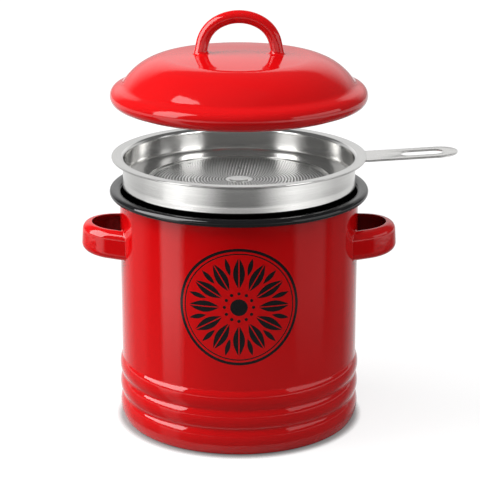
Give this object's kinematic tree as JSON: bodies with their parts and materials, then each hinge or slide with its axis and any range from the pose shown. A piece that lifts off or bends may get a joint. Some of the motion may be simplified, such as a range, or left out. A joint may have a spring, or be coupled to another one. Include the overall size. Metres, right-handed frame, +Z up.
{
  "type": "grease keeper",
  "caption": "Red enamelled steel pot with a black rolled rim, ribbed foot and side handles, a drop-in steel strainer and a domed lid",
  "frame": {"origin": "centre of the pot's flat base", "axes": "+Z up along the axis shared by the pot, the strainer and the lid; +X along the strainer's handle and through the pot's right handle"},
  "size_m": [0.197, 0.1356, 0.2193],
  "materials": {
    "red_enamel": "gloss",
    "black_enamel": "gloss",
    "stainless_steel": "satin",
    "polished_steel": "polished",
    "perforated_steel": "satin"
  },
  "bodies": {
    "pot": {"pot_shell": "red_enamel", "left_handle": "red_enamel", "right_handle": "red_enamel"},
    "strainer": {"strainer_cup": "stainless_steel", "strainer_mesh": "perforated_steel", "mesh_ring": "polished_steel", "strainer_handle": "stainless_steel"},
    "lid": {"lid_shell": "red_enamel", "lid_handle": "red_enamel"}
  },
  "joints": [
    {"name": "strainer_lift", "type": "slide", "parent": "pot", "child": "strainer", "axis": [0, 0, 1], "range_m": [-0.01515, 0.06]},
    {"name": "lid_lift", "type": "slide", "parent": "strainer", "child": "lid", "axis": [0, 0, 1], "range_m": [-0.027, 0.06]}
  ]
}
